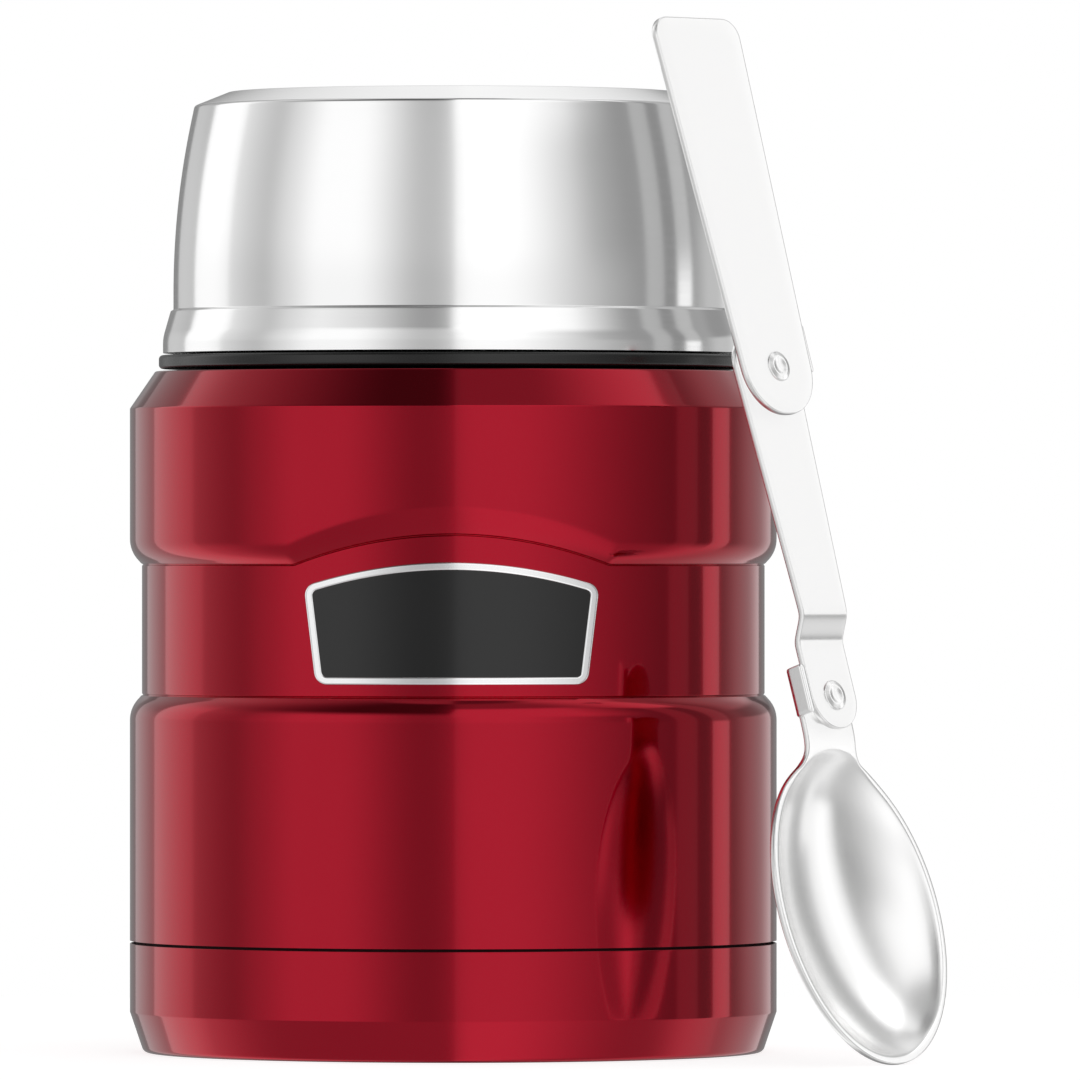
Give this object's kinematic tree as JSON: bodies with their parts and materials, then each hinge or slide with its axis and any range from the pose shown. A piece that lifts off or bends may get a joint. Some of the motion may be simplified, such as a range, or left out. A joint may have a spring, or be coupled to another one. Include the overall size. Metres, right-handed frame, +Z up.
{
  "type": "insulated food jar",
  "caption": "Vacuum-walled steel food jar with a screw stopper, a bowl that screws over it as the lid, and a folding spoon standing beside it.",
  "frame": {"origin": "middle of the jar's base, on the ground", "axes": "+Z up along the jar's axis, -Y towards the badge, +X towards the spoon"},
  "size_m": [0.1177, 0.111, 0.1493],
  "materials": {
    "red_coat": "glossy metallic red coat on steel",
    "plain_steel": "satin drawn steel",
    "polished_steel": "polished steel with soft reflections",
    "spoon_steel": "polished steel",
    "black_plastic": "fine matt moulding",
    "silicone": "translucent grey silicone",
    "foam": "closed-cell insulation foam",
    "badge_silver": "polished border",
    "badge_black": "dark satin field, bare",
    "foil": "bright foil",
    "solder": "dull metal"
  },
  "bodies": {
    "jar": {"outer_shell": "red_coat", "base_cup": "red_coat", "closing_plate": "plain_steel", "inner_vessel": "plain_steel", "radiation_foil": "foil", "pump_seal": "solder", "getter": "solder", "badge_bezel": "badge_silver", "badge_field": "badge_black"},
    "stopper_seal": {"stopper_gasket": "silicone"},
    "stopper": {"stopper_body": "black_plastic", "stopper_foam": "foam", "plug_cover": "black_plastic"},
    "bowl_lining": {"bowl_liner": "polished_steel"},
    "bowl": {"bowl_shell": "polished_steel", "bowl_ring": "black_plastic"},
    "spoon_handle": {"spoon_grip": "spoon_steel", "grip_rivet": "spoon_steel", "grip_washer": "spoon_steel"},
    "spoon_middle": {"spoon_link": "spoon_steel"},
    "spoon_head": {"spoon_bowl": "spoon_steel", "bowl_rivet": "spoon_steel", "bowl_washer": "spoon_steel"}
  },
  "joints": [
    {"name": "stopper_rise", "type": "slide", "parent": "jar", "child": "stopper_seal", "axis": [0, 0, 1], "range_m": [0, 0.03]},
    {"name": "stopper_turn", "type": "hinge", "parent": "stopper_seal", "child": "stopper", "pos_m": [0, 0, 0.1], "axis": [0, 0, 1], "range_deg": [0, 900]},
    {"name": "bowl_rise", "type": "slide", "parent": "stopper", "child": "bowl_lining", "axis": [0, 0, 1], "range_m": [0, 0.03]},
    {"name": "bowl_turn", "type": "hinge", "parent": "bowl_lining", "child": "bowl", "pos_m": [0, 0, 0.12], "axis": [0, 0, 1], "range_deg": [0, 900]},
    {"name": "spoon_lift", "type": "slide", "parent": "jar", "child": "spoon_handle", "axis": [0, 0, 1], "range_m": [0, 0.1]},
    {"name": "link_fold", "type": "hinge", "parent": "spoon_handle", "child": "spoon_middle", "pos_m": [0.04584, -0.03935, 0.09885], "axis": [-0.7143, 0.632, -0.3007], "range_deg": [0, 180]},
    {"name": "bowl_fold", "type": "hinge", "parent": "spoon_middle", "child": "spoon_head", "pos_m": [0.0566, -0.04888, 0.05326], "axis": [0.7143, -0.632, 0.3007], "range_deg": [0, 180]}
  ],
  "couplings": [
    {"joint": "stopper_rise", "follows": "stopper_turn", "m_per_rad": 0.0019098},
    {"joint": "bowl_rise", "follows": "bowl_turn", "m_per_rad": 0.0019098}
  ]
}
